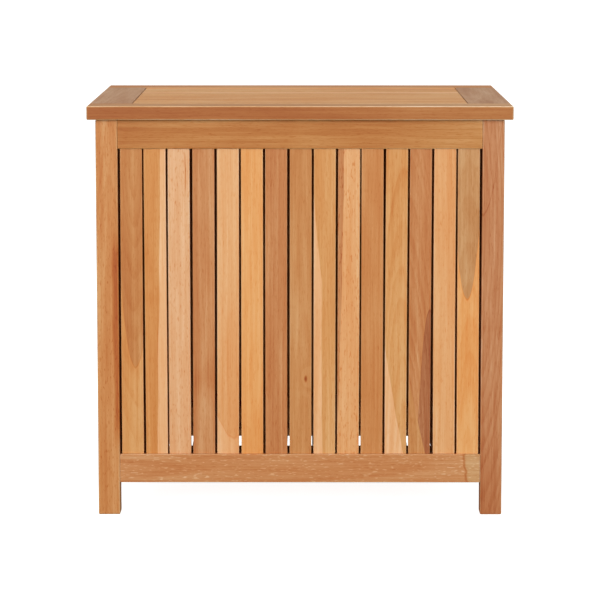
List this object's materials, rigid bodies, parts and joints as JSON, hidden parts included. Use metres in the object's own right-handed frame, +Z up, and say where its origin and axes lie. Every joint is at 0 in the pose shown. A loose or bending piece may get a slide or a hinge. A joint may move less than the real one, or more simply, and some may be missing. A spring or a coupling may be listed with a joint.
{
  "type": "deck storage box",
  "caption": "Slatted wooden storage chest on four legs, with a framed slatted lid that swings up on butt hinges and is held by a folding stay.",
  "frame": {"origin": "on the ground, under the middle of the chest", "axes": "+X to the chest's right as seen from the front, +Y to the back where the hinges are, +Z up; the front faces -Y"},
  "size_m": [0.6, 0.5, 0.586],
  "materials": {
    "teak_frame": "oiled teak, satin, straight grain with darker bands",
    "teak_slats": "oiled teak, satin, board to board from pale sapwood to reddish brown",
    "teak_floor": "plain sanded teak, dull",
    "brass": "satin brass, slightly dulled",
    "steel": "zinc plated, satin"
  },
  "bodies": {
    "case": {"leg_front_left": "teak_frame", "leg_front_right": "teak_frame", "leg_back_left": "teak_frame", "leg_back_right": "teak_frame", "front_top_rail": "teak_frame", "front_bottom_rail": "teak_frame", "back_top_rail": "teak_frame", "back_bottom_rail": "teak_frame", "left_top_rail": "teak_frame", "left_bottom_rail": "teak_frame", "right_top_rail": "teak_frame", "right_bottom_rail": "teak_frame", "front_slat_01": "teak_slats", "front_slat_02": "teak_slats", "front_slat_03": "teak_slats", "front_slat_04": "teak_slats", "front_slat_05": "teak_slats", "front_slat_06": "teak_slats", "front_slat_07": "teak_slats", "front_slat_08": "teak_slats", "front_slat_09": "teak_slats", "front_slat_10": "teak_slats", "front_slat_11": "teak_slats", "front_slat_12": "teak_slats", "front_slat_13": "teak_slats", "front_slat_14": "teak_slats", "front_slat_15": "teak_slats", "back_slats": "teak_slats", "left_slats": "teak_slats", "right_slats": "teak_slats", "floor_duckboard": "teak_floor", "floor_ledger_left": "teak_floor", "floor_ledger_right": "teak_floor", "hinge_left_body_leaf": "brass", "hinge_left_pin": "brass", "hinge_right_body_leaf": "brass", "hinge_right_pin": "brass", "stay_body_bracket": "steel"},
    "lid": {"lid_front_rail": "teak_frame", "lid_back_rail": "teak_frame", "lid_left_rail": "teak_frame", "lid_right_rail": "teak_frame", "lid_slat_01": "teak_slats", "lid_slat_02": "teak_slats", "lid_slat_03": "teak_slats", "lid_slat_04": "teak_slats", "lid_slat_05": "teak_slats", "lid_slat_06": "teak_slats", "lid_slat_07": "teak_slats", "lid_slat_08": "teak_slats", "lid_slat_09": "teak_slats", "lid_slat_10": "teak_slats", "lid_slat_11": "teak_slats", "lid_cleat": "teak_frame", "hinge_left_lid_leaf": "brass", "hinge_right_lid_leaf": "brass", "stay_lid_bracket": "steel"},
    "stay_long_arm": {"stay_body_arm": "steel"},
    "stay_short_arm": {"stay_lid_arm": "steel"}
  },
  "joints": [
    {"name": "lid_hinge", "type": "hinge", "parent": "case", "child": "lid", "pos_m": [0, 0.2413, 0.56625], "axis": [-1, 0, 0], "range_deg": [0, 98]},
    {"name": "stay_body_pivot", "type": "hinge", "parent": "case", "child": "stay_long_arm", "pos_m": [0.2632, 0.182, 0.536], "axis": [-1, 0, 0], "range_deg": [0, 98]},
    {"name": "stay_lid_pivot", "type": "hinge", "parent": "lid", "child": "stay_short_arm", "pos_m": [0.2607, 0.0913, 0.5575], "axis": [-1, 0, 0], "range_deg": [-98, 0]}
  ],
  "couplings": [
    {"joint": "stay_body_pivot", "follows": "lid_hinge", "ratio": 1},
    {"joint": "stay_lid_pivot", "follows": "lid_hinge", "ratio": -1}
  ]
}
